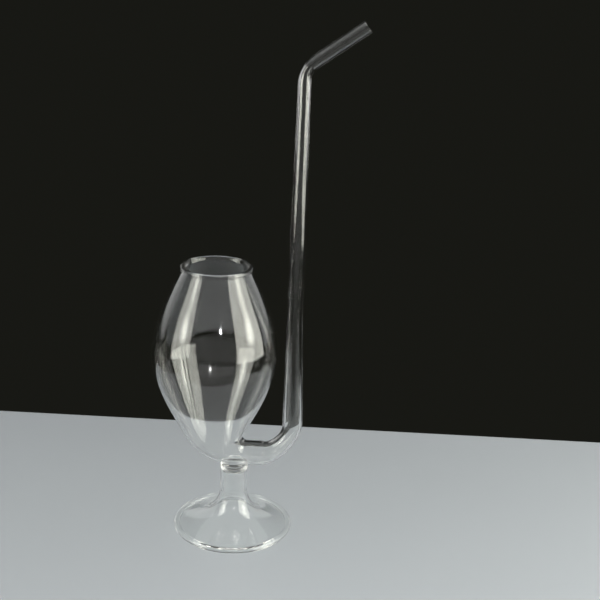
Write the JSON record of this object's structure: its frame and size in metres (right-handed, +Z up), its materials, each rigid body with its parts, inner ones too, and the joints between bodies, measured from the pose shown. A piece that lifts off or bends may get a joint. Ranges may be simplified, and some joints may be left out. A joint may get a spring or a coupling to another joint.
{
  "type": "sipping glass",
  "caption": "Clear stemmed glass with an egg-shaped bowl on a hollow trumpet foot; the bowl's tail becomes a side arm and a tall bent glass straw.",
  "frame": {"origin": "on the surface that the glass stands on, under the middle of the object's box; the foot's axis is 9.2 mm towards -X", "axes": "+Z up, along the stem and the straw; +X from the bowl towards the straw and its mouthpiece; the glass is symmetric across Y"},
  "size_m": [0.1184, 0.0744, 0.3078],
  "materials": {
    "bowl": "clear, fire-polished, faint blowing waves",
    "lip_ring": "clear, fire-polished bead",
    "side_arm": "clear, drawn in the flame, faint lengthways cords",
    "straw_seal": "clear, remelted, uneven",
    "straw": "clear drawn tube, faint lengthways cords",
    "knop": "clear, thick, fire-polished",
    "stem": "clear tube",
    "foot": "clear, spun in the flame, faint rings",
    "foot_rim": "clear, thick, fire-polished bead"
  },
  "bodies": {
    "root": {"bowl": "bowl", "lip_ring": "lip_ring", "side_arm": "side_arm", "straw_seal": "straw_seal", "straw": "straw", "knop": "knop", "stem": "stem", "foot": "foot", "foot_rim": "foot_rim"}
  },
  "joints": []
}
